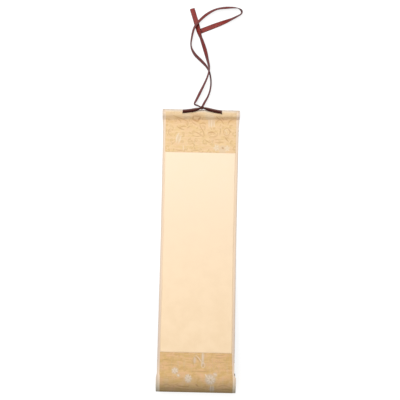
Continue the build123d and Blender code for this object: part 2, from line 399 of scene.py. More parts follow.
def draw_sheet_line():
    """Follows the papers from lap to lap. Returns the line and its named stations."""
    batten_line = batten_radius + backing_thickness
    leave = radians(batten_leave)
    lap_height = wrap_thickness + backing_thickness
    ramp = batten_z + batten_line * cos(leave) - lap_height
    ramp = (ramp - batten_crease_radius * (1 - cos(leave))) / sin(leave)
    crease_y = batten_y - (batten_line + batten_crease_radius) * sin(leave) - ramp * cos(leave)
    lap_end_y = crease_y - batten_lap

    line = SheetLine(lap_end_y, brocade_thickness)
    marks = {}
    line.straight(batten_y + batten_radius - batten_corner - lap_end_y)
    line.arc(batten_corner + backing_thickness, 90)
    line.arc(batten_line, 90 + batten_leave)
    line.straight(ramp)
    line.arc(batten_crease_radius, -batten_leave)
    marks["crease"] = line.length
    line.straight(batten_lap)
    marks["batten_lap_end"] = line.length

    table_height = strip_thickness + backing_thickness
    drop = lap_height - table_height - 2 * step_radius * (1 - cos(radians(step_angle)))
    line.arc(step_radius, step_angle)
    line.straight(drop / sin(radians(step_angle)))
    line.arc(step_radius, -step_angle)

    dowel_line = dowel_radius + backing_thickness
    lift, slope = radians(lift_angle), radians(roller_slope)
    lap_run = dowel_lap + dowel_crease_radius + lap_clear_run
    climb = dowel_z + dowel_line * cos(slope) - table_height - lap_run * sin(slope)
    climb = (climb - lift_radius * (1 + cos(slope) - 2 * cos(lift))) / sin(lift)
    reach = lift_radius * (2 * sin(lift) - sin(slope)) + climb * cos(lift) + lap_run * cos(slope)
    line.straight(line.pose[0] - dowel_y - dowel_line * sin(slope) - reach)
    line.arc(lift_radius, -lift_angle)
    line.straight(climb)
    line.arc(lift_radius, lift_angle - roller_slope)
    line.straight(lap_run)
    marks["dowel_top"] = line.length

    leave = radians(dowel_leave)
    line.arc(dowel_line, 180 + dowel_leave)
    rise = dowel_line * (1 + cos(leave)) - 2 * backing_thickness
    rise -= dowel_crease_radius * (1 - cos(leave))
    line.straight(rise / sin(leave))
    line.arc(dowel_crease_radius, -dowel_leave)
    line.straight(dowel_lap)
    along = dowel_line * sin(leave) + rise / tan(leave) + dowel_crease_radius * sin(leave)
    marks["dowel_lap_start"] = marks["dowel_top"] - along
    marks["dowel_lap_end"] = marks["dowel_lap_start"] - dowel_lap
    marks["top_seam"] = marks["crease"] + crease_y - (scroll_edge - top_border_length)
    marks["bottom_seam"] = marks["dowel_top"] - bottom_border_length + dowel_radius + wrap_thickness
    return line, marks


line, marks = draw_sheet_line()

# Stations between which painted shade sets in over the roller, staying on round its underside
roller_painted_shade = (marks["dowel_top"] - 12, marks["dowel_top"] + 8)


@lru_cache(maxsize=None)
def line_pose(station):
    """Y, Z and heading at a station, worked out once."""
    return line.at(station)


def ease(share):
    """0 below 0, 1 above 1, and a smooth step between."""
    share = min(1.0, max(0.0, share))
    return share * share * (3 - 2 * share)


def cockle(x, station):
    """How far a place on the papers has lifted off their true line."""
    free = ease((station - marks["batten_lap_end"] - cockle_clear_of_lap) / cockle_run)
    free *= ease((marks["dowel_lap_end"] - station) / cockle_run)
    broad = sin(station / 17 + x / 34 + 0.6) * sin(x / 21 - station / 45 + 1.0)
    fine = sin(station / 9 - x / 13)
    ridges = 0.0
    for mark, skew in lap_ridge_skews.items():
        gap = (station - marks[mark] - skew * x) / lap_ridge_half_width
        ridges += lap_ridge_height * 2.0 ** (-gap * gap)
    return cockle_height * free * (0.5 + 0.35 * broad + 0.15 * fine) + ridges


def on_roller(y):
    """1 over the roller, where the strips are opened, and 0 in front of it."""
    roller_wide = dowel_y + dowel_radius + wrap_thickness - dowel_flare_over_rod
    return 1 - ease((y - roller_wide) / dowel_flare)


def at_crease(station):
    """1 at the crease below the batten, and 0 on the batten and further down the scroll."""
    past = station - marks["crease"]
    reached = ease(past / crease_skew_before + 1)
    return reached * (1 - ease((past - crease_skew_held) / crease_skew_fade))


def paper_point(x, station, out):
    """A point of the papers, out millimetres from the glue line towards the face."""
    y, z, heading = line_pose(station)
    y += crease_skew * x * at_crease(station)
    x += roller_drift * on_roller(y)
    out += cockle(x, station)
    return Vector((x, y + out * sin(radians(heading)), z - out * cos(radians(heading)))) * mm


# Meshes

def grid_mesh(columns, rows, place):
    """A grid of faces. place gives each corner its point and its position on the flat sheet."""
    mesh = bmesh.new()
    bmesh.ops.create_grid(mesh, x_segments=columns, y_segments=rows, size=0.5)
    flat = mesh.loops.layers.uv.new("flat")
    places = {}
    for vertex in mesh.verts:
        column = round((vertex.co.x + 0.5) * columns)
        row = round((vertex.co.y + 0.5) * rows)
        places[vertex] = place(column, row)
    for face in mesh.faces:
        for loop in face.loops:
            loop[flat].uv = places[loop.vert][1]
    for vertex, (point, _) in places.items():
        vertex.co = point
    return mesh


def put_in_scene(name, data):
    thing = bpy.data.objects.new(name, data)
    bpy.context.scene.collection.objects.link(thing)
    return thing


def from_mesh(name, mesh, finish):
    """Makes a finished mesh an object."""
    data = bpy.data.meshes.new(name)
    mesh.to_mesh(data)
    mesh.free()
    data.materials.append(finish)
    return put_in_scene(name, data)


def add_piece(name, mesh, finish, slot, node):
    """Adds a piece that rides with the scroll, in place of a node."""
    for face in mesh.faces:
        face.smooth = True
    piece = from_mesh(name, mesh, finish)
    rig.ride(piece, body)
    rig.slot(piece, slot)
    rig.replaces(piece, node)
    return piece


def thicken(piece, thickness, offset=-1.0):
    """Gives a sheet its thickness, behind its face, or on both sides of it with an offset of 0."""
    solidify = piece.modifiers.new("thickness", "SOLIDIFY")
    solidify.thickness = thickness * mm
    solidify.offset = offset
    solidify.use_even_offset = True


def flat_places(piece):
    """X and station of each vertex on the flat sheet, in millimetres."""
    flat = piece.data.uv_layers["flat"]
    places = np.zeros((len(piece.data.vertices), 2))
    for item in piece.data.loops:
        places[item.vertex_index] = flat.data[item.index].uv
    return places / mm


def keep_on_vertices(piece, name, values):
    attribute = piece.data.attributes.new(name, "FLOAT", "POINT")
    attribute.data.foreach_set("value", np.asarray(values, np.float32))


def panel_edge(side, station):
    """How far a panel reaches to a side. The lower one is a little wider on its right."""
    spread = panel_spread * ease((station - marks["bottom_seam"]) / panel_spread_run)
    return panel_width / 2 + (spread if side > 0 else 0)


def add_face_sheet(name, first, last, thickness, spacing, finish, slot):
    """A panel glued on the face between two stations."""
    stations = line.stations(first, last, spacing)
    columns = ceil(panel_width / spacing)

    def place(column, row):
        share = 1 - 2 * column / columns
        x = share * panel_edge(share, stations[row])
        flat = (share * panel_width / 2 * mm, stations[row] * mm)
        return paper_point(x, stations[row], thickness), flat

    mesh = grid_mesh(columns, len(stations) - 1, place)
    piece = add_piece(name + "_sheet", mesh, finish, slot, name)
    thicken(piece, thickness)
    flat = (panel_width * mm, (last - first) * mm)
    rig.sheet(piece, flat=flat, held="laid", rests_on=["backing_paper"])
    return piece


def add_backing(finish):
    """The one sheet that the others are glued to, from lap to lap."""
    stations = line.stations(0, line.length, paper_spacing)
    columns = 50

    def place(column, row):
        x = backing_half_width * (2 * column / columns - 1)
        return paper_point(x, stations[row], -backing_thickness), (x * mm, stations[row] * mm)

    mesh = grid_mesh(columns, len(stations) - 1, place)
    piece = add_piece("backing_sheet", mesh, finish, "backing_paper", "backing_paper")
    thicken(piece, backing_thickness)


def strip_edge(station):
    """The scroll's half width at a station: wider at the rods, where the strips are opened."""
    y = line_pose(station)[0]
    at_batten = ease((y - (batten_y - batten_radius - wrap_thickness)) / batten_flare + 1)
    opened = strip_turned_width * on_roller(y) + strip_opened_at_batten * at_batten
    return body_width / 2 + opened


def add_edge_strip(side, finish):
    """A paper strip over the papers' long edge, turned under between the two laps."""
    stations = line.stations(0, line.length, paper_spacing)
    columns = 18
    radius = (2 * strip_thickness + backing_thickness) / 2

    def place(column, row):
        station = stations[row]
        inner = panel_edge(side, station)
        folded = ease((station - marks["batten_lap_end"] - 1) / strip_fold_run)
        folded *= ease((marks["dowel_lap_end"] - 1 - station) / strip_fold_run)
        front = strip_edge(station) - radius * folded - inner
        bend = pi * radius * folded
        behind = strip_turned_width * ease(2 * folded - 1)
        along = (front + bend + behind) * column / columns
        out = brocade_thickness - (brocade_thickness - strip_thickness) * ease(along)
        if along > front + bend and bend > 0:
            out = strip_thickness - radius * (1 - cos(pi * folded))
            reach = radius * sin(pi * folded)
            x = inner + front + reach + (along - front - bend) * cos(pi * folded)
        elif along > front:
            angle = (along - front) / radius
            out = strip_thickness - radius * (1 - cos(angle))
            x = inner + front + radius * sin(angle)
        else:
            x = inner + along
        return paper_point(side * x, station, out), (along * mm, station * mm)

    mesh = grid_mesh(columns, len(stations) - 1, place)
    if side > 0:
        bmesh.ops.reverse_faces(mesh, faces=mesh.faces[:])
    name = "right_edge_strip" if side > 0 else "left_edge_strip"
    piece = add_piece(name + "_paper", mesh, finish, "edge_paper", name)
    thicken(piece, strip_thickness)


def rod_mesh(radius, half_length, segments):
    """A round rod along X, on the X axis."""
    mesh = bmesh.new()
    bmesh.ops.create_cone(
        mesh, cap_ends=True, segments=segments, radius1=radius * mm, radius2=radius * mm,
        depth=2 * half_length * mm, matrix=Matrix.Rotation(radians(90), 4, "Y"),
    )
    return mesh


def add_rod(name, mesh, half_length, y, z, finish):
    """Chamfers both ends of a rod, keeps their faces flat, and puts the rod in its place."""
    for side in (-1, 1):
        end = [f for f in mesh.faces if side * f.normal.x > 0.9]
        if len(end) > 1:
            bmesh.ops.dissolve_faces(mesh, faces=end)
    ends = [f for f in mesh.faces if abs(f.normal.x) > 0.9]
    edges = [e for f in ends for e in f.edges]
    bmesh.ops.bevel(
        mesh, geom=edges, offset=rod_chamfer * mm, affect="EDGES", segments=2, profile=0.5, material=-1
    )
    ends = [f for f in mesh.faces if abs(abs(f.calc_center_median().x) - half_length * mm) < 1e-7]
    bmesh.ops.inset_individual(mesh, faces=ends, thickness=0.15 * mm)
    bmesh.ops.translate(mesh, verts=mesh.verts, vec=Vector((0, y, z)) * mm)
    add_piece(name + "_rod", mesh, finish, "rod_wood", name)


def add_dowel(finish):
    """The round rod at the bottom, as long as the opened strips less a recess at each end."""
    half = body_width / 2 + strip_turned_width - dowel_end_recess
    mesh = rod_mesh(dowel_radius, half, 96)
    add_rod("bottom_dowel", mesh, half, dowel_y, dowel_z, finish)


def add_batten(finish):
    """A round rod cut to its upper half, with the flat side let down and its corners eased."""
    half = body_width / 2 + strip_opened_at_batten - batten_end_recess
    mesh = rod_mesh(batten_radius, half, 64)
    everything = mesh.verts[:] + mesh.edges[:] + mesh.faces[:]
    cut = bmesh.ops.bisect_plane(
        mesh, geom=everything, plane_co=(0, 0, 0), plane_no=(0, 0, -1), clear_outer=True
    )
    rim = [e for e in cut["geom_cut"] if isinstance(e, bmesh.types.BMEdge)]
    floor = bmesh.ops.contextual_create(mesh, geom=rim)["faces"]
    lowered = bmesh.ops.extrude_face_region(mesh, geom=floor)["geom"]
    bmesh.ops.delete(mesh, geom=floor, context="FACES_ONLY")
    corners = [v for v in lowered if isinstance(v, bmesh.types.BMVert)]
    bmesh.ops.translate(mesh, verts=corners, vec=(0, 0, -batten_corner * mm))
    bmesh.ops.recalc_face_normals(mesh, faces=mesh.faces[:])
    long_edges = [
        e for e in mesh.edges
        if all(v in corners for v in e.verts) and abs(e.verts[0].co.x - e.verts[1].co.x) > half * mm
    ]
    bmesh.ops.bevel(
        mesh, geom=long_edges, offset=0.95 * batten_corner * mm, affect="EDGES", segments=4,
        profile=0.5, material=-1,
    )
    add_rod("top_batten", mesh, half, batten_y, batten_z, finish)


# Ribbons

def smooth_line(points):
    """The line that a route's points steer, read from a NURBS spline, in millimetres."""
    curve = bpy.data.curves.new("route", "CURVE")
    curve.dimensions = "3D"
    spline = curve.splines.new("NURBS")
    spline.points.add(len(points) - 1)
    for control, point in zip(spline.points, points):
        control.co = (*[value * mm for value in point], 1)
    spline.order_u = 3
    spline.use_endpoint_u = True
    curve.resolution_u = 12
    carrier = bpy.data.objects.new("route", curve)
    traced = bpy.data.meshes.new_from_object(carrier)
    path = [vertex.co / mm for vertex in traced.vertices]
    bpy.data.objects.remove(carrier)
    bpy.data.meshes.remove(traced)
    return path


def lengths_along(path):
    """How far each point of a line is from its start."""
    return np.cumsum([0.0] + [(after - before).length for before, after in zip(path, path[1:])])


def direction(path, i):
    """Which way a line runs at one of its points."""
    return (path[min(i + 1, len(path) - 1)] - path[max(i - 1, 0)]).normalized()


def along_route(path, points, values):
    """Values given at a route's points, passed smoothly to every point of its smooth line."""
    blend = 11
    nearest = [min(range(len(path)), key=lambda i: (path[i] - Vector(p)).length) for p in points]
    nearest[0], nearest[-1] = 0, len(path) - 1
    passed = np.interp(range(len(path)), nearest, values)
    soft = np.hanning(blend) / np.hanning(blend).sum()
    return np.convolve(np.pad(passed, blend // 2, mode="edge"), soft, mode="valid")


def ribbon_mesh(path, sides, flat_width, widths, cup=0.0):
    """A ribbon along a line. Each of sides points from its middle to one edge.

    It bulges where it is drawn narrower than its flat width, and curls where it stands on edge.
    """
    lengths = lengths_along(path)

    def place(column, row):
        share = 2 * column / ribbon_columns - 1
        face = sides[row].cross(direction(path, row)).normalized()
        drawn = flat_width / widths[row] - 1
        depth = ribbon_bulge * drawn + cup * face.z + 2 * cup * (1 - face.z ** 2)
        depth *= 1 - share * share
        point = path[row] + sides[row] * share * widths[row] / 2 + face * depth
        return point * mm, (share * flat_width / 2 * mm, lengths[row] * mm)

    return grid_mesh(ribbon_columns, len(path) - 1, place)


def add_ribbon(name, mesh, finish, node, offset=0.0):
    """Adds a ribbon with its thickness, and smooths it."""
    piece = add_piece(name, mesh, finish, "ribbon", node)
    thicken(piece, ribbon_thickness, offset)
    smoother = piece.modifiers.new("smoothing", "SUBSURF")
    smoother.levels = smoother.render_levels = 1
    return piece


def add_tail(name, route, finish):
    """One tail of the tie ribbon, turned on its edge in places, and standing on the table.

    Returns the piece and its middle line in metres.
    """
    points = [(x, scroll_edge + y, z) for x, y, z, _ in route]
    path = smooth_line(points)
    turns = along_route(path, points, [turn for _, _, _, turn in route])
    sides = []
    for i, turn in enumerate(turns):
        ahead = direction(path, i)
        level = ahead.cross(Vector((0, 0, 1))).normalized()
        upright = level.cross(ahead)
        sides.append(level * cos(radians(turn)) + upright * sin(radians(turn)))
    for point, side in zip(path, sides):
        lowest = point.z - abs(side.z) * tie_ribbon_width / 2 - ribbon_thickness / 2
        if lowest < table_clearance:
            point.z += table_clearance - lowest
    widths = [tie_ribbon_width] * len(path)
    mesh = ribbon_mesh(path, sides, tie_ribbon_width, widths, tail_curl)
    piece = add_ribbon(name + "_cloth", mesh, finish, name)
    # How far it stands on edge, for the finish's painted sheen: 1 within 20 degrees of upright, and 0 from 60 degrees
    on_edge = [ease((60 - abs(90 - turn)) / 40) for turn in turns]
    on_edge = np.interp(flat_places(piece)[:, 1], lengths_along(path), on_edge)
    keep_on_vertices(piece, "turned", on_edge)
    return piece, [point * mm for point in path]


def tilted(x, along, out):
    """A point on the batten's upper outer side. along runs down the side, and out away from it."""
    angle = radians(hanging_angle)
    reach = batten_radius + wrap_thickness + out
    y = batten_y + reach * cos(angle) + along * sin(angle)
    z = batten_z + reach * sin(angle) - along * cos(angle)
    return Vector((x, y, z))


def add_hanging_ribbon(finish):
    """The ribbon that is let into the batten at both ends and drawn outwards at the knot.

    Returns the piece and its middle line in metres.
    """
    points = []
    for side, rise in hanging_rise.items():
        slot = hanging_middle + side * hanging_span / 2
        reach = slot - knot_x
        # X, how far down the batten's side, and how far out from it
        run = [
            (slot, -0.6, -slot_depth),
            (slot, -0.6, 0.2),
            (slot - side * 0.5, -0.55, hanging_out + 0.1),
            (slot - side * 3.5, -0.1, hanging_out),
            (knot_x + 0.6 * reach, rise[0], hanging_out + 0.2 * hanging_lift),
            (knot_x + 0.3 * reach, rise[1], hanging_out + 0.7 * hanging_lift),
            (knot_x + side * 2.5, rise[2], hanging_out + hanging_lift),
        ]
        points += [*run, knot_place] if side < 0 else run[::-1]
    path = smooth_line([tilted(*point) for point in points])
    angle = radians(hanging_angle)
    side = Vector((0, -sin(angle), cos(angle)))
    widths = []
    for point in path:
        gathered = 1 - ease((abs(point.x - knot_x) - gathered_half_run) / gathered_fade)
        widths.append(hanging_ribbon_width - (hanging_ribbon_width - gathered_width) * gathered)
    mesh = ribbon_mesh(path, [side] * len(path), hanging_ribbon_width, widths)
    piece = add_ribbon("hanging_ribbon_cloth", mesh, finish, "hanging_ribbon")
    return piece, [point * mm for point in path]


def add_knot_turn(name, offset, across, around, width, turn, lean, finish):
    """One turn of the knot: a ribbon ring round the hanging ribbon."""
    steps = 40
    centre = tilted(*knot_place) + Vector(offset)
    placing = Matrix.Rotation(radians(turn), 3, "Z") @ Matrix.Rotation(radians(lean), 3, "Y")

    def place(column, row):
        share = 2 * column / ribbon_columns - 1
        angle = 2 * pi * row / steps
        swell = 1 - 0.16 * share * share
        ring = Vector((share * width / 2, across * cos(angle) * swell, around * sin(angle) * swell))
        uv = (share * width / 2 * mm, angle * (across + around) / 2 * mm)
        return (centre + placing @ ring) * mm, uv

    mesh = grid_mesh(ribbon_columns, steps, place)
    bmesh.ops.remove_doubles(mesh, verts=mesh.verts, dist=0.001 * mm)
    return add_ribbon(name, mesh, finish, "tie_ribbon_knot", offset=-1.0)


# Finishes

class Signal:
    """A shader value. Its sums, differences and products add Math nodes."""

    def __init__(self, finish, socket):
        self.finish = finish
        self.socket = socket

    def maths(self, operation, *others):
        inputs = dict(enumerate((self, *others)))
        return self.finish.node("ShaderNodeMath", inputs, operation=operation)

    def __add__(self, other):
        return self.maths("ADD", other)

    def __sub__(self, other):
        return self.maths("SUBTRACT", other)

    def __mul__(self, other):
        return self.maths("MULTIPLY", other)

    __radd__ = __add__
    __rmul__ = __mul__

    def __rsub__(self, other):
        return self.finish.node("ShaderNodeMath", {0: other, 1: self}, operation="SUBTRACT")

    def ribs(self, pitch):
        """Ribs of a pitch in millimetres, from 0 to 1 and back."""
        return (self * (2 * pi / pitch)).maths("SINE") * 0.5 + 0.5

    def within(self, low, high):
        """0 at low, 1 at high and beyond, with a smooth step between."""
        inputs = {"Value": self, "From Min": low, "From Max": high}
        return self.finish.node("ShaderNodeMapRange", inputs, interpolation_type="SMOOTHSTEP")


class Finish:
    """One material, built from nodes."""

    def __init__(self, name, **constants):
        self.material = bpy.data.materials.new(name)
        self.material.use_nodes = True
        self.tree = self.material.node_tree
        self.tree.nodes.clear()
        shader = self.node("ShaderNodeBsdfPrincipled")
        self.shader = shader.socket.node
        self.output = self.tree.nodes.new("ShaderNodeOutputMaterial")
        self.feed(self.output.inputs["Surface"], shader)
        self.surface(**constants)

    def node(self, kind, inputs=None, output=0, **settings):
        """Adds a node with its settings, feeds its inputs, and returns one of its outputs."""
        node = self.tree.nodes.new(kind)
        for setting, value in settings.items():
            setattr(node, setting, value)
        for socket, value in (inputs or {}).items():
            self.feed(node.inputs[socket], value)
        return Signal(self, node.outputs[output])

    def feed(self, socket, value):
        if isinstance(value, Signal):
            self.tree.links.new(value.socket, socket)
        elif socket.type == "RGBA" and len(value) == 3:
            socket.default_value = (*value, 1)
        else:
            socket.default_value = value

    def surface(self, **inputs):
        for socket, value in inputs.items():
            self.feed(self.shader.inputs[socket.replace("_", " ")], value)

    def finished(self, colour, roughness, relief, depth):
        """Feeds the shader, with relief up to a depth in millimetres. Returns the material."""
        inputs = {"Height": relief, "Distance": depth * mm, "Strength": 1.0}
        normal = self.node("ShaderNodeBump", inputs)
        self.surface(Base_Color=colour, Roughness=roughness, Normal=normal)
        return self.material

    def place(self, kind="flat"):
        """X and Y on the flat sheet, in millimetres, or X, Y and Z of the object."""
        if kind == "flat":
            vector = self.node("ShaderNodeUVMap", uv_map="flat")
        else:
            vector = self.node("ShaderNodeTexCoord", output="Object")
        inputs = {0: vector, "Scale": 1 / mm}
        return self.node("ShaderNodeVectorMath", inputs, operation="SCALE")

    def axes(self, vector):
        parts = self.node("ShaderNodeSeparateXYZ", {0: vector}).socket.node.outputs
        return [Signal(self, part) for part in parts]

    def vector(self, x, y, z=0.0):
        return self.node("ShaderNodeCombineXYZ", {0: x, 1: y, 2: z})

    def noise(self, vector, scale, detail=3.0, roughness=0.5, distortion=0.0):
        inputs = {"Vector": vector, "Scale": scale, "Detail": detail, "Roughness": roughness}
        return self.node("ShaderNodeTexNoise", {**inputs, "Distortion": distortion})

    def mix(self, share, low, high):
        """One colour where share is 0 and another where it is 1."""
        inputs = {"Factor": share, 6: low, 7: high}
        return self.node("ShaderNodeMix", inputs, output=2, data_type="RGBA")

    def attribute(self, name):
        return self.node("ShaderNodeAttribute", output="Fac", attribute_name=name)


def writing_paper_finish():
    """Soft cream writing paper, with clouded pulp and short fibres."""
    finish = Finish("writing_paper", Specular_IOR_Level=0.15)
    place = finish.place()
    clouds = finish.noise(place, 0.055, 4.0, 0.6)
    fibres = finish.noise(place, 1.6, 3.0, 0.6, 1.2)
    # Painted shade: darker and warmer towards the bottom seam, as the light falls off along the scroll
    darker_lower_down = finish.axes(place)[1].within(marks["top_seam"] - 30, marks["bottom_seam"] + 30)
    colour = finish.mix(darker_lower_down, srgb(252, 229, 201), srgb(239, 211, 173))
    colour = finish.mix(clouds.within(0.3, 0.7) * 0.4, colour, srgb(252, 227, 194))
    colour = finish.mix(fibres.within(0.58, 0.75) * 0.25, colour, srgb(238, 206, 168))
    return finish.finished(colour, 0.9, finish.noise(place, 2.4, 4.0, 0.6), 0.03)


def brocade_finish(name, ground_tones, thread_tones, tint_tones, shade_tone, pale_tones, figure, wear_and_painted_shade):
    """Gold-brown silk brocade on paper, with a woven vine, brown accents and silver blossoms, and painted shadows in
    the accents' tone.

    Each pair of tones is a darker and a lighter one, or two tints. figure is how strongly the vine
    shows. The last argument lists bands of wear and of painted light and shade on the cloth: the two
    stations between which each sets in, and two more where it goes out again, its tone and its strength.
    """
    finish = Finish(name, Specular_IOR_Level=0.3)
    place = finish.place()
    across, along, _ = finish.axes(place)
    # What the distances kept on the vertices cover
    from_vine = finish.attribute("vine")
    vine = 1 - from_vine.within(-0.2, 0.2)
    beside_vine = from_vine.within(0.1, 0.5) - from_vine.within(0.6, 1.3)
    # Woven brown accents, with painted shadows drawn as strokes among them
    shade = 1 - finish.attribute("shade").within(-0.8, 0.8)
    silver = 1 - finish.attribute("silver").within(-2.2, 1.0)
    gleam = 1 - finish.attribute("gleam").within(-0.5, 0.6)
    # Threads, and how evenly they took the dye
    wefts = along.ribs(0.45)
    warps = across.ribs(0.38)
    streaks = finish.noise(finish.vector(across * 0.1, along * 0.7), 1.0, 3.0, 0.65)
    ribs = finish.noise(finish.vector(across * 0.6, along * 0.05), 1.0, 2.0, 0.5)
    tints = finish.noise(finish.vector(across * 0.09, along * 0.2, 7.0), 1.0, 2.0, 0.5)
    ground = finish.mix(streaks.within(0.35, 0.65), *ground_tones)
    ground = finish.mix(tints.within(0.48, 0.66) * 0.5, ground, tint_tones[0])
    ground = finish.mix((1 - tints).within(0.48, 0.66) * 0.5, ground, tint_tones[1])
    ground = finish.mix(beside_vine * (0.6 * figure), ground, ground_tones[1])
    thread = finish.mix(streaks.within(0.35, 0.7), *thread_tones)
    colour = finish.mix(vine * figure, ground, thread)
    colour = finish.mix(ribs.within(0.5, 0.7) * 0.2, colour, pale_tones[0])
    colour = finish.mix(silver * 0.75, colour, pale_tones[0])
    colour = finish.mix(shade * 0.7, colour, shade_tone)
    colour = finish.mix(gleam * 0.8, colour, pale_tones[1])
    # Bands of wear, and of painted light and shade
    for stations, tone, strength in wear_and_painted_shade:
        share = along.within(*stations[:2])
        if stations[2:]:
            share = share - along.within(*stations[2:])
        colour = finish.mix(share * strength, colour, tone)
    relief = wefts * (1 - vine) * 0.5 + warps * vine * 0.8 + vine * 0.6 + gleam * 0.8
    return finish.finished(colour, 0.62 - gleam * 0.1, relief, 0.06)


def edge_paper_finish():
    """Smooth pale paper of the edge strips: darker at the fold from wear and painted shade, darker lower down, and
    with painted shade on the roller.
    """
    finish = Finish("edge_paper", Specular_IOR_Level=0.2)
    place = finish.place()
    across, along, _ = finish.axes(place)
    grain = finish.noise(place, 1.3, 3.0, 0.6)
    colour = finish.mix(grain.within(0.3, 0.7), srgb(236, 209, 180), srgb(241, 217, 189))
    patches = finish.noise(finish.vector(along * 0.3, across), 1.0).within(0.2, 0.7)
    # Darker towards and round the fold: wear, with painted shade
    wear_and_painted_shade = across.within(0.9, 2.4) * (patches * 0.3 + 0.7)
    colour = finish.mix(wear_and_painted_shade * 0.8, colour, srgb(214, 194, 176))
    # Darker lower down, going out again where the roller begins
    darker_lower_down = along.within(190, 310) - along.within(318, 345)
    colour = finish.mix(darker_lower_down * 0.3, colour, srgb(170, 158, 156))
    # Painted shade over the roller
    colour = finish.mix(along.within(*roller_painted_shade) * 0.5, colour, srgb(117, 128, 112))
    return finish.finished(colour, 0.8, grain, 0.02)


def backing_paper_finish():
    """Pasted mulberry paper, with long pale fibres."""
    finish = Finish("backing_paper", Specular_IOR_Level=0.15)
    place = finish.place()
    clouds = finish.noise(place, 0.08, 3.0, 0.6)
    fibres = finish.noise(place, 0.9, 4.0, 0.7, 2.5)
    colour = finish.mix(clouds.within(0.3, 0.7), srgb(236, 226, 206), srgb(243, 235, 218))
    colour = finish.mix(fibres.within(0.6, 0.72) * 0.4, colour, srgb(222, 207, 180))
    return finish.finished(colour, 0.9, fibres, 0.03)


def wood_finish(name, y, z):
    """Plain pale wood, with its grain along X, for a rod whose middle is at Y and Z."""
    finish = Finish(name, Specular_IOR_Level=0.3)
    x, across, up = finish.axes(finish.place("object"))
    # The heart of the wood lies to one side of the rod and a little below it
    across, up = across - y * 0.93, up - z + 3.0
    reach = (across * across + up * up).maths("SQRT")
    wander = finish.noise(finish.vector(x * 0.02, across * 0.15, up * 0.15), 1.0, 2.0)
    rings = (reach + wander * 2.5).ribs(1.3)
    pores = finish.noise(finish.vector(x * 0.15, across * 3.0, up * 3.0), 1.0, 3.0, 0.7)
    colour = finish.mix(rings, srgb(224, 190, 142), srgb(203, 162, 112))
    colour = finish.mix(pores.within(0.55, 0.75) * 0.5, colour, srgb(166, 122, 78))
    return finish.finished(colour, 0.6, pores, 0.05)


def ribbon_finish(name, dark, light, width, sheen, upper_half_highlight=0.0):
    """Satin ribbon, with fine ribs across it, dark edges and a greyer tone where it is on edge, a painted sheen.

    The last argument is how strongly the half beyond its middle is lightened: a painted highlight, which on the
    hanging ribbon falls on its upper half.
    """
    finish = Finish(name, Specular_IOR_Level=sheen, Sheen_Weight=sheen, Sheen_Roughness=0.4)
    across, along, _ = finish.axes(finish.place())
    ribs = along.ribs(0.5)
    edge = across.maths("ABSOLUTE").within(width / 2 - 0.9, width / 2 - 0.4)
    streaks = finish.noise(finish.vector(across * 2.5, along * 0.12), 1.0, 3.0, 0.6)
    colour = finish.mix(streaks.within(0.3, 0.7), dark, light)
    colour = finish.mix(ribs * 0.12, colour, tuple(0.3 * c for c in dark))
    # Painted sheen: a greyer tone where the ribbon stands on edge
    colour = finish.mix(finish.attribute("turned") * 0.6, colour, srgb(108, 74, 76))
    colour = finish.mix(edge * 0.85, colour, tuple(0.25 * c for c in light))
    if upper_half_highlight:
        # Painted highlight on the ribbon's upper half
        colour = finish.mix((across * -1.0).within(-0.4, 1.4) * upper_half_highlight, colour, srgb(150, 112, 104))
    return finish.finished(colour, 0.5, ribs + edge, 0.04)


# Woven figure

def stroke(points, half_width):
    """A smooth line through a few points, thinner at its ends, as points and half widths."""
    knots = np.linspace(0, 1, len(points))
    share = np.linspace(0, 1, 30)
    bends = len(points) - 1
    axes = [np.polyval(np.polyfit(knots, axis, bends), share) for axis in np.transpose(points)]
    return np.stack(axes, 1), half_width * (0.45 + 0.55 * np.sin(pi * share))


def strokes(*rows):
    """Strokes, each given as its half width and then the X and station of each of its points."""
    return [stroke(list(zip(row[1::2], row[2::2])), row[0]) for row in rows]


def ring(x, along, width, height):
    """A closed oval line."""
    half_width = 0.3
    angles = np.linspace(0, 2 * pi, 36)
    points = np.stack([x + width / 2 * np.cos(angles), along + height / 2 * np.sin(angles)], 1)
    return points, half_width


def blossoms(*rows):
    """Oval flowers, each given as its X, station, width, height, number of petals and turn."""
    petal_from, petal_to, petal_width = 0.12, 0.42, 0.6
    parts = []
    for x, along, width, height, petals, turn in rows:
        for angle in turn + 2 * pi * np.arange(petals) / petals:
            reach = np.array([width * cos(angle), height * sin(angle)])
            petal = [(x, along) + share * reach for share in (petal_from, petal_to)]
            parts.append(stroke(petal, petal_width))
    return parts


def curl(x, along, radius, start, hand, turns):
    """Points of a spiral that winds in from its outer end."""
    angles = np.linspace(0, 2 * pi * turns, 60)
    reach = radius * np.exp(-0.17 * angles)
    angles = start + hand * angles
    return np.stack([x + reach * np.cos(angles), along + reach * np.sin(angles)], 1)


def turned(points, angle, x, along):
    """Points drawn about zero, turned and set at a place on the cloth."""
    turn = np.array([[cos(angle), sin(angle)], [-sin(angle), cos(angle)]])
    return np.asarray(points) @ turn + (x, along)


def leaf(x, along, length, angle, half_width):
    """An almond leaf that starts at a place and points along an angle, as a stroke."""
    share = np.linspace(0, 1, 16)
    spine = np.stack([share * length, 0.12 * length * np.sin(pi * share)], 1)
    return turned(spine, angle, x, along), 0.15 + half_width * np.sin(pi * share)


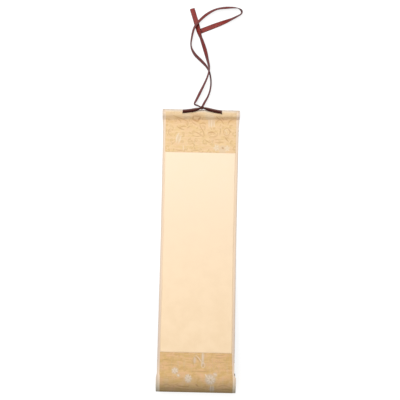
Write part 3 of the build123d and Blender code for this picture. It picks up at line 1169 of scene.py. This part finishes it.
def sprig(x, along, angle, size, hand):
    """A waved stem that winds up in a curl, with a bud inside it and leaves along it."""
    share = np.linspace(0, 1, 40)
    reach, wave, radius, leaf_length = 6.5 * size, 1.6 * size, 2.9 * size, 3.6 * size
    thin, bud = 0.34, 0.5
    stem = np.stack([reach * (share - 1), hand * wave * np.sin(2 * pi * share)], 1)
    winding = curl(0, hand * radius, radius, -hand * pi / 2, hand, 1.25)
    parts = [(stem, thin), (winding, thin), (np.array([[0.3, hand * radius]]), bud)]
    parts = [(turned(points, angle, x, along), half) for points, half in parts]
    for spot, lean in ((9, 1.0), (23, -0.9)):
        base = turned(stem[spot][None], angle, x, along)[0]
        parts.append(leaf(*base, leaf_length, angle + lean, 0.6))
    return parts


def spray(x, along, reach, angle, size):
    """A stem with pairs of short leaves along it."""
    parts = [leaf(x, along, reach, angle, 0.4)]
    for count in range(3):
        share = (count + 0.6) / 3.4
        base = (x + share * reach * cos(angle), along + share * reach * sin(angle))
        parts += [leaf(*base, size, angle + lean, 0.6) for lean in (-0.9, 0.9)]
    return parts


def vine_strokes(first, last):
    """Sprigs scattered over the cloth, in rows and turned every way."""
    chance = np.random.default_rng(11)
    parts = []
    gap, astray = 9.5, 1.5
    for row in range(int((last - first) / gap) + 2):
        for column in range(-5, 6):
            x = (column + 0.5 * (row % 2)) * gap * 1.05 + chance.uniform(-astray, astray)
            along = first + row * gap + chance.uniform(-astray, astray)
            angle = chance.uniform(0, 2 * pi)
            size = chance.uniform(0.65, 1.0)
            parts += sprig(x, along, angle, size, chance.choice((-1, 1)))
    return parts


def ovals(*rows):
    """Filled upright ovals, each given as its X, station, width and height."""
    share = np.linspace(-0.98, 0.98, 13)
    parts = []
    for x, along, width, height in rows:
        points = np.stack([x + 0 * share, along + share * (height - width) / 2], 1)
        parts.append((points, width / 2 * np.sqrt(1 - 0.25 * share * share)))
    return parts


def stroke_distance(places, parts):
    """Distance from each place to the nearest stroke's edge, below 0 inside it.

    It is right up to a margin round each stroke, and far off everywhere else.
    """
    far, margin = 9.0, 3
    nearest = np.full(len(places), far)
    for points, half_width in parts:
        halves = np.broadcast_to(half_width, len(points))
        reach = halves.max() + margin
        low, high = points.min(0) - reach, points.max(0) + reach
        near = np.all((places > low) & (places < high), axis=1)
        if not near.any():
            continue
        gaps = np.linalg.norm(places[near][:, None] - points[None], axis=2) - halves
        nearest[near] = np.minimum(nearest[near], gaps.min(1))
    return nearest


def weave_figure(piece, first, last, figure):
    """Keeps on each vertex how far it is from the vine, the accents and painted shadows, the silver and its gleams."""
    places = flat_places(piece)
    gaps = {name: stroke_distance(places, parts) for name, parts in figure.items()}
    vine = stroke_distance(places, vine_strokes(first, last))
    gaps["vine"] = np.maximum(vine, 0.8 - np.minimum(gaps["shade"], gaps["silver"]))
    for name, values in gaps.items():
        keep_on_vertices(piece, name, values)


# Places on the cloths are given as X and station
top_shades = strokes(
    # Tilted lozenge on the batten's lower side
    (1, -9.2, 33, -0.5, 34),
    (1.1, -0.5, 34, -4, 41.4),
    (1, -4, 41.4, -10, 38.6),
    (0.8, -10, 38.6, -9.2, 33),
    # Painted shadow under the hanging ribbon
    (0.6, -14, 30, -6, 30.4, 3.4, 31.2),
    (0.5, -13, 31.6, -5, 32, 3.4, 32.8),
    # Branches left and right of the lozenge
    (0.7, -32.7, 33.2, -26.8, 36.1, -22.6, 37.8, -16.1, 41.2),
    (0.4, -30.3, 36.6, -26.2, 38.9, -23.8, 42.4),
    (0.4, -21.4, 38, -19, 36.6, -16.6, 36.3),
    (0.3, -16.1, 41.2, -15.5, 44.2, -16.6, 46.6),
    (0.6, -28.5, 46.8, -24.4, 49.7, -20.2, 50.8),
    (0.5, -25, 48.5, -20.8, 46.8, -17.8, 47.5),
    (0.4, -16.1, 48.7, -12.5, 46.8),
    (0.3, -34.5, 50.1, -38.3, 52, -38, 56.1, -35, 57.8),
    (0.7, 18.3, 33, 20.2, 36.6, 23.1, 38.9, 26.6, 43.7),
    (0.5, 24.3, 34.2, 25.9, 37.5, 27.3, 39.9),
    (0.4, 23.1, 39.2, 20.2, 40.1, 18.3, 42.5),
    (0.4, 29.7, 34.7, 32.1, 34.9, 34, 36.3),
    (0.4, 36.4, 39.9, 34, 40.9, 32.1, 44.9),
    # Long leaves in the middle
    (0.4, -10.7, 53.5, -5.4, 54.2, -0.6, 56.8, 3.6, 59.7),
    (0.3, -10.1, 57.3, -4.8, 59.2, 0, 58),
    (0.5, -1.2, 43.7, -0.2, 48.2, 2.4, 52.5, 4, 58),
    (0.4, -0.5, 44.2, 2.9, 43, 5.9, 44.7),
    (0.3, -10.7, 41.3, -7.1, 44.4, -2.9, 45.4),
    # Eye-shaped leaf, beads and a round flower
    (0.7, 8.8, 55.1, 12.5, 53.9, 17.1, 55.4),
    (0.3, 9, 57, 14.7, 59.4, 20.2, 57.3),
    (0.4, 22.8, 48.9, 23.3, 52.5, 22.6, 56.8),
    (0.5, 32.8, 50.6, 36.1, 53.9),
    (0.5, 28.3, 58.9, 30.7, 62, 33.3, 64.7),
    (0.3, 30.2, 60.4, 34, 60.4),
    # Low on the panel
    (0.2, 17.4, 63, 22, 62, 26.6, 62.5),
    (0.3, 17.8, 65.8, 26.9, 65.6),
    (0.4, 4.8, 62.5, 8.3, 65.1, 11.9, 66.1),
    (0.3, -11.2, 67.3, -7.8, 68.5, -8.3, 71.6),
    (0.9, 25.7, 71.6, 27.3, 73),
    (0.4, -29.2, 75.6, -25, 76.3, -20.7, 75.8),
    (0.3, -10.7, 75.4, -5.9, 75.8, -1.2, 75.4),
)
top_shades += [ring(30.9, 53.5, 7.4, 8.6)]
top_shades += spray(-20, 8, 14, 0.3, 4)
top_shades += spray(12, 12, 14, -0.3, 4)
top_silvers = ovals(
    (12.4, 40.6, 9, 15), (10, 31.4, 12, 5), (-17.4, 31.4, 10, 3.4),
    (-26.6, 60.8, 5.6, 11), (19.6, 72.3, 8, 9), (31.5, 72.7, 6.4, 8.4),
    (26.2, 75.8, 9, 3), (-6, 11, 8, 9),
)
top_gleams = strokes(
    (0.5, 9.5, 38.8, 9.7, 48.3),
    (0.6, 12.6, 38.8, 12.6, 48.3),
    (0.5, 15.7, 40.6, 15.9, 47.8),
    (0.6, 7.7, 34.2, 16.6, 34.2),
    (0.6, -25.7, 54.9, -28.5, 60.8, -29, 66.8),
    (0.5, -23.1, 58.5, -24.7, 63.2, -26.2, 67.5),
    (0.3, 27.6, 51.3, 30.4, 53.2, 30.9, 56.6),
    (0.4, -20.5, 70.4, -20, 75.8),
)
top_gleams += blossoms(
    (18.8, 72, 8, 9.2, 5, 0.5), (31.9, 72.7, 6.9, 8, 5, 0.9), (-6, 11, 8, 9.2, 6, 0.2),
)
top_figure = {"shade": top_shades, "silver": top_silvers, "gleam": top_gleams}
bottom_shades = strokes(
    (0.5, -4.3, 335.6, 5, 335.4, 13.6, 335.9),
    (0.5, -1.3, 318.8, 2.2, 321.1, 4.8, 325.7),
    (0.3, -2.7, 320, -3.4, 324.5, -2.4, 329.1),
    (0.3, 23.6, 317, 28.3, 316.6, 32.5, 317),
    (0.3, 23.2, 319.3, 27.1, 319.7, 32.3, 319.3),
    (0.3, 24.3, 324.7, 28.3, 324.3, 32.5, 324.7),
    (0.3, -39.3, 323.8, -34.6, 322.7, -28.8, 323.4),
    (0.3, -34.6, 329.7, -27.6, 328.6, -20.6, 329.5),
    (0.4, 8.5, 327.2, 8.5, 330.2),
    (0.4, -11.3, 339.7, -10.4, 342.7),
    (0.4, -7.3, 340, -8, 343.4),
    (0.3, -24.8, 335.4, -22, 338.1),
    (0.4, 16, 344.3, 18.5, 347.2),
    (0.5, -38.1, 352.4, -33.4, 351.2, -29.5, 353.1),
    (0.6, -23, 351, -18.3, 352.9, -11.3, 353.5, -7.8, 352),
    (0.9, -0.1, 350.4, 2.9, 352.9),
    (0.4, 8.5, 353.7, 12.5, 352.9),
    (0.5, 26, 352.6, 31.8, 351.2, 38.8, 353.3),
    (0.6, -41.6, 356.9, -27.6, 355.6, -11.3, 356.9, 13.2, 356.2),
    (0.5, 22.5, 356.6, 33, 355.6, 42.3, 356.9),
)
bottom_silvers = ovals(
    (-24, 335.2, 8.4, 8.4), (-20.2, 340.4, 4.8, 4.8), (-8.9, 344, 9.2, 12),
    (16.4, 344.6, 13.4, 13.6), (22.3, 339, 5, 3), (8, 321.8, 4, 17),
    (-1.3, 322.7, 4, 9), (18.4, 356, 6.6, 10), (-26, 372, 7, 9),
    (6, 384, 7, 8),
)
bottom_gleams = strokes(
    (0.8, -21, 340, -19.6, 341),
    (0.7, 11, 338.6, 12.6, 341.8),
    (0.5, 20.2, 337.7, 24.3, 339.5),
    (0.5, 8, 314.3, 8.3, 323.4),
    (0.4, -0.1, 317, 3.1, 320, 6.9, 325.2),
    (0.5, 16.8, 351.4, 16.8, 361),
    (0.5, 19.8, 351.4, 19.8, 361),
)
bottom_gleams += [ring(8.5, 328.4, 4.4, 5.6)]
bottom_gleams += blossoms(
    (-24.2, 335.2, 8.4, 7.4, 6, 0.4), (-8.9, 343.8, 9.2, 11.4, 8, 0.1),
    (16.8, 345, 11, 11, 8, 0.5), (-26, 372, 7.5, 10, 6, 0.2),
    (6, 384, 7.5, 8.8, 6, 0.5),
)
bottom_figure = {"shade": bottom_shades, "silver": bottom_silvers, "gleam": bottom_gleams}

writing_paper = writing_paper_finish()
top_cloth = brocade_finish(
    "top_brocade_cloth",
    ground_tones=(srgb(229, 193, 144), srgb(238, 206, 159)),
    thread_tones=(srgb(207, 167, 113), srgb(214, 180, 126)),
    tint_tones=(srgb(224, 190, 130), srgb(232, 194, 152)),
    shade_tone=srgb(182, 128, 74),
    pale_tones=(srgb(226, 200, 166), srgb(240, 220, 194)),
    figure=0.5,
    wear_and_painted_shade=[
        # Paler over the batten, lifting the shade of its lower side as painted light
        ((42, 26), srgb(225, 200, 164), 0.51),
        # Paler still along the batten's top
        ((30, 27), srgb(248, 238, 228), 0.5),
        # Painted shade just below the crease under the batten
        ((47, 40, 39.5, 37.5), srgb(182, 128, 74), 0.2),
    ],
)
# The same cloth as the top panel, in darker tones: painted shade towards the bottom of the scroll
bottom_cloth = brocade_finish(
    "bottom_brocade_cloth",
    ground_tones=(srgb(210, 170, 115), srgb(222, 184, 130)),
    thread_tones=(srgb(198, 156, 97), srgb(207, 165, 105)),
    tint_tones=(srgb(205, 168, 99), srgb(227, 179, 140)),
    shade_tone=srgb(170, 128, 80),
    pale_tones=(srgb(206, 188, 168), srgb(230, 211, 188)),
    figure=0.38,
    # Painted shade over the roller and round its underside
    wear_and_painted_shade=[(roller_painted_shade, srgb(76, 70, 52), 0.51)],
)
edge_paper = edge_paper_finish()
backing_paper = backing_paper_finish()
dowel_wood = wood_finish("dowel_wood", dowel_y, dowel_z)
batten_wood = wood_finish("batten_wood", batten_y, batten_z)
tie_ribbon = ribbon_finish("tie_ribbon", srgb(118, 30, 26), srgb(152, 48, 38), tie_ribbon_width, 0.33)
dark_ribbon = ribbon_finish(
    "hanging_ribbon", srgb(44, 12, 4), srgb(78, 26, 16), hanging_ribbon_width, 0.1, upper_half_highlight=0.45
)

# Ribbons
hanging_ribbon, hanging_path = add_hanging_ribbon(dark_ribbon)
# The knot, a part of the tie ribbon, takes the darker finish as painted shade
knot = [add_knot_turn(*turn, dark_ribbon) for turn in knot_turns]
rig.cord(
    hanging_ribbon, exit=hanging_path[0], length=hanging_ribbon_length * mm,
    diameter=hanging_ribbon_width * mm, far_end="object", stiffness="limp", lay="loose", path=hanging_path,
)
long_tail, long_path = add_tail("tie_ribbon_long_tail", long_tail_route, tie_ribbon)
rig.cord(
    long_tail, exit=long_path[0], length=long_tail_length * mm, diameter=tie_ribbon_width * mm,
    far_end="bare", stiffness="limp", lay="loose", path=long_path,
)
short_tail, short_path = add_tail("tie_ribbon_short_tail", short_tail_route, tie_ribbon)
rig.cord(
    short_tail, exit=short_path[0], length=short_tail_length * mm, diameter=tie_ribbon_width * mm,
    far_end="bare", stiffness="limp", lay="loose", path=short_path,
    with_pieces=knot,
)

# Papers and rods
add_backing(backing_paper)
add_face_sheet(
    "writing_paper", marks["top_seam"], marks["bottom_seam"], paper_thickness, paper_spacing,
    writing_paper, "writing_paper",
)
for name, first, last, cloth, figure in (
    ("top_brocade", 0, marks["top_seam"], top_cloth, top_figure),
    ("bottom_brocade", marks["bottom_seam"], line.length, bottom_cloth, bottom_figure),
):
    panel = add_face_sheet(name, first, last, brocade_thickness, cloth_spacing, cloth, "brocade")
    weave_figure(panel, first, last, figure)
add_edge_strip(-1, edge_paper)
add_edge_strip(1, edge_paper)
add_dowel(dowel_wood)
add_batten(batten_wood)


# Table, light and camera

def add_table():
    """A plain pale table, white to the camera and softer in the light it throws back."""
    mesh = bmesh.new()
    bmesh.ops.create_grid(mesh, x_segments=1, y_segments=1, size=3.0)
    finish = Finish("table")
    seen = finish.node("ShaderNodeLightPath", output="Is Camera Ray")
    colour = finish.mix(seen, (0.25, 0.25, 0.25), (0.3, 0.3, 0.3))
    glow = finish.node("ShaderNodeEmission", {"Strength": seen * 0.8})
    matt = finish.node("ShaderNodeBsdfDiffuse", {"Color": colour})
    both = finish.node("ShaderNodeAddShader", {0: glow, 1: matt})
    finish.feed(finish.output.inputs["Surface"], both)
    finish.tree.nodes.remove(finish.shader)
    table = from_mesh("table", mesh, finish.material)
    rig.stage(table)


def add_lamp(name, place, power):
    """A soft lamp, a metre wide, that points at the scroll's middle."""
    lamp = bpy.data.lights.new(name, "AREA")
    lamp.size = 1.0
    lamp.energy = power
    holder = put_in_scene(name, lamp)
    holder.location = place
    holder.rotation_euler = (-Vector(place)).to_track_quat("-Z", "Y").to_euler()


def add_camera():
    """A camera straight above the scroll, turned as the photograph is."""
    camera = bpy.data.cameras.new("camera")
    camera.sensor_width = sensor_width
    camera.lens = sensor_width * camera_height / (millimetres_a_pixel * photo_pixels)
    holder = put_in_scene("camera", camera)
    holder.location = Vector((*camera_aim, camera_height)) * mm
    holder.rotation_euler = (0, 0, radians(camera_roll))
    bpy.context.scene.camera = holder


add_table()
add_lamp("key", (-0.25, 0.5, 0.9), 9.2)
add_lamp("fill", (-0.2, -0.5, 0.9), 2.7)
add_camera()
world = bpy.data.worlds.new("studio")
bpy.context.scene.world = world
world.use_nodes = True
background = world.node_tree.nodes["Background"]
background.inputs["Color"].default_value = (1, 1, 1, 1)
background.inputs["Strength"].default_value = 0.36
bpy.context.scene.view_settings.view_transform = "Standard"

low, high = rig.bounds()
with open("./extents.json", "w") as sizes:
    json.dump({"cad": [list(cad_box[0]), list(cad_box[1])], "visual": [list(low), list(high)]}, sizes)
